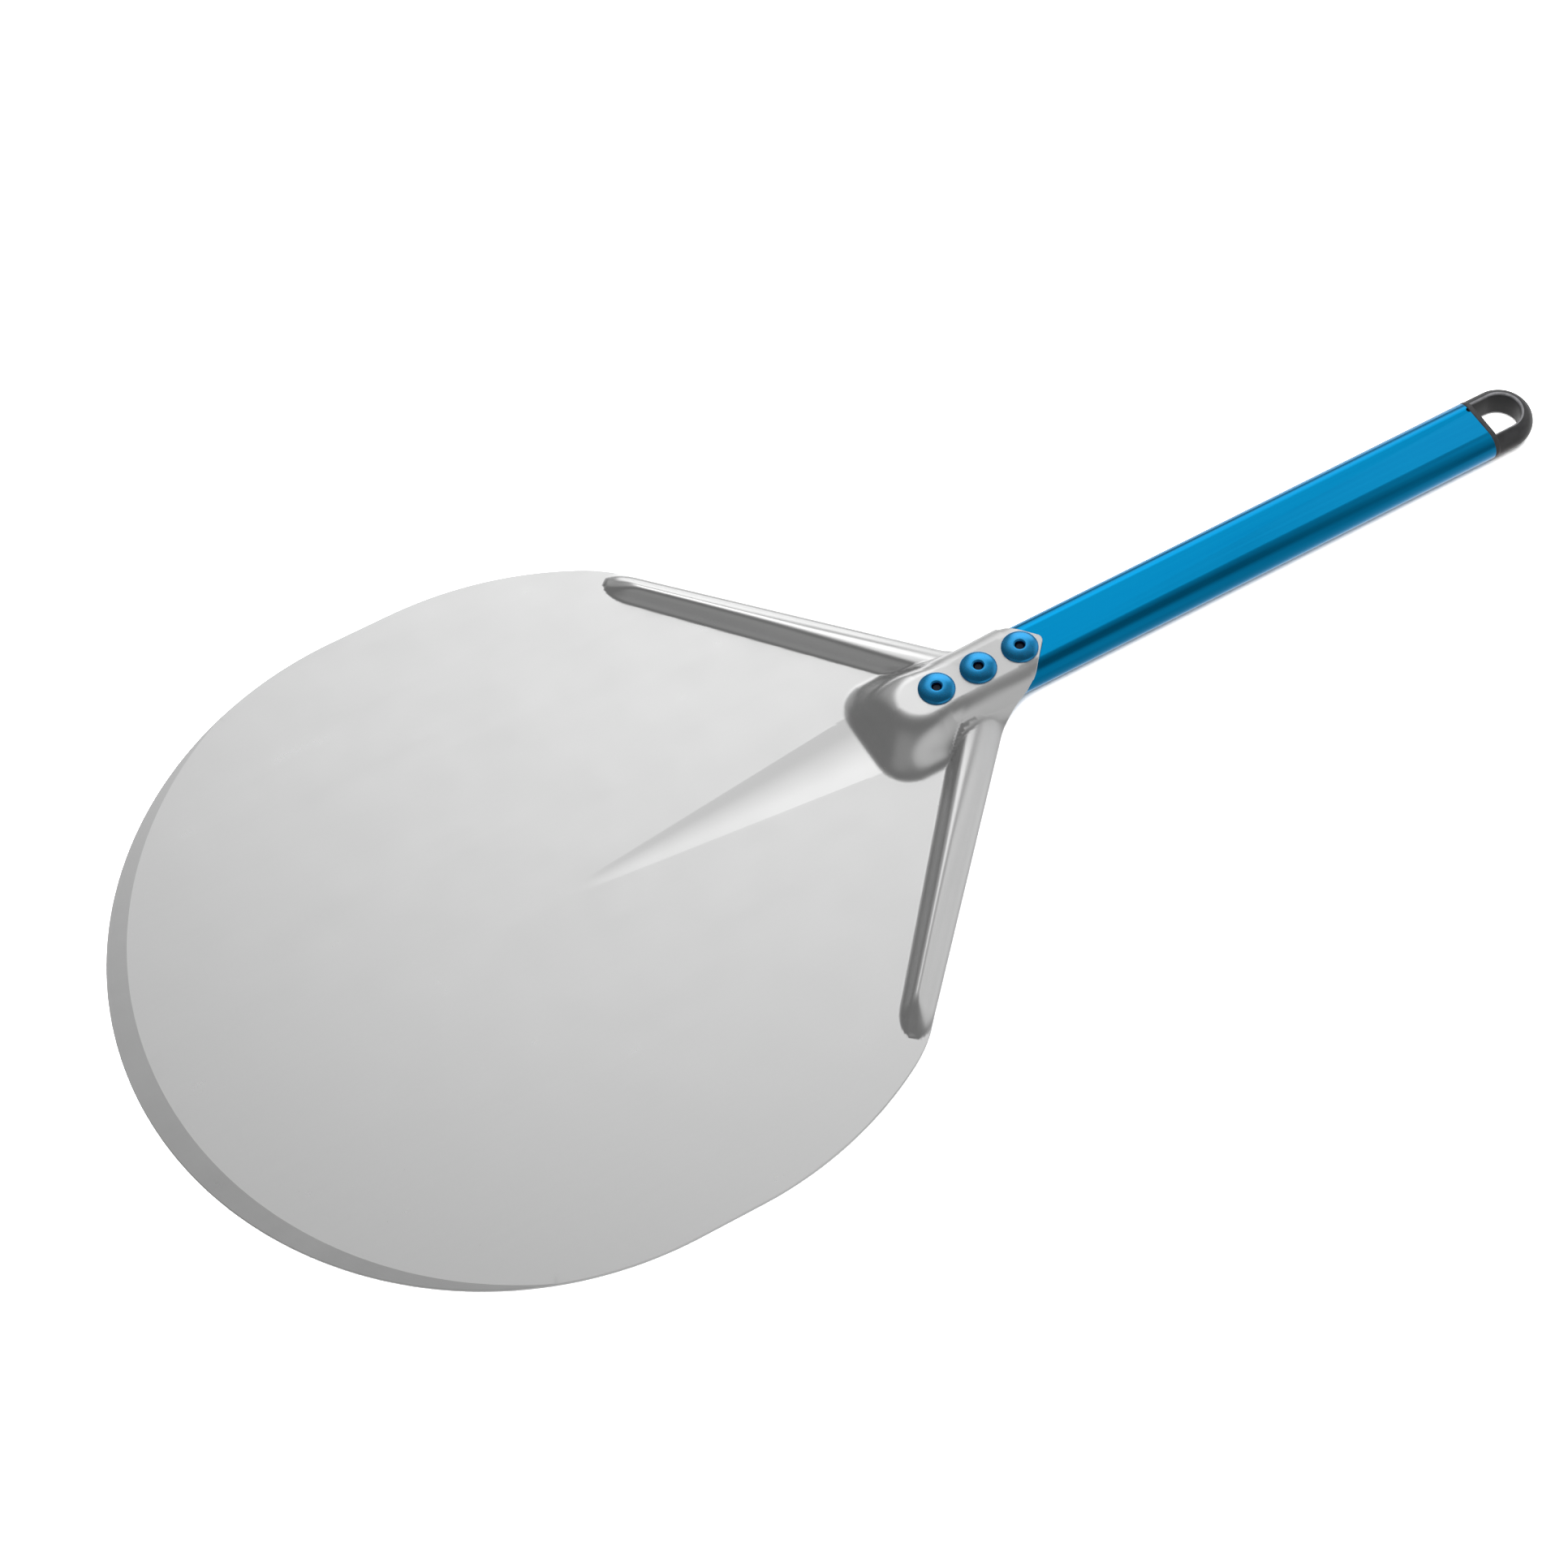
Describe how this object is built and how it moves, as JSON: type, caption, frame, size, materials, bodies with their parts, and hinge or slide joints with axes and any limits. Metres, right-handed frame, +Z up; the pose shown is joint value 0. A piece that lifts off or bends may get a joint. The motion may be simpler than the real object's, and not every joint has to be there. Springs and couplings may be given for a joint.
{
  "type": "pizza peel",
  "caption": "Flat round metal peel with a raised riveted neck, stiffening ribs, a bevelled front edge, and an oval tube handle ending in a hanging loop.",
  "frame": {"origin": "centre of the blade's front arc, on the blade's flat underside", "axes": "+X from the blade along the handle to the hanging loop, +Z up, away from the surface the peel lies on"},
  "size_m": [0.6725, 0.33, 0.0188],
  "materials": {
    "blade_metal": "satin anodised",
    "blue_anodised": "satin blue anodised",
    "blue_rivet": "gloss blue",
    "rivet_steel": "dull plated",
    "black_plastic": "satin moulded"
  },
  "bodies": {
    "root": {"head": "blade_metal", "handle_tube": "blue_anodised", "end_cap": "black_plastic", "rivet_front": "blue_rivet", "rivet_middle": "blue_rivet", "rivet_rear": "blue_rivet", "mandrel_front": "rivet_steel", "mandrel_middle": "rivet_steel", "mandrel_rear": "rivet_steel"}
  },
  "joints": []
}
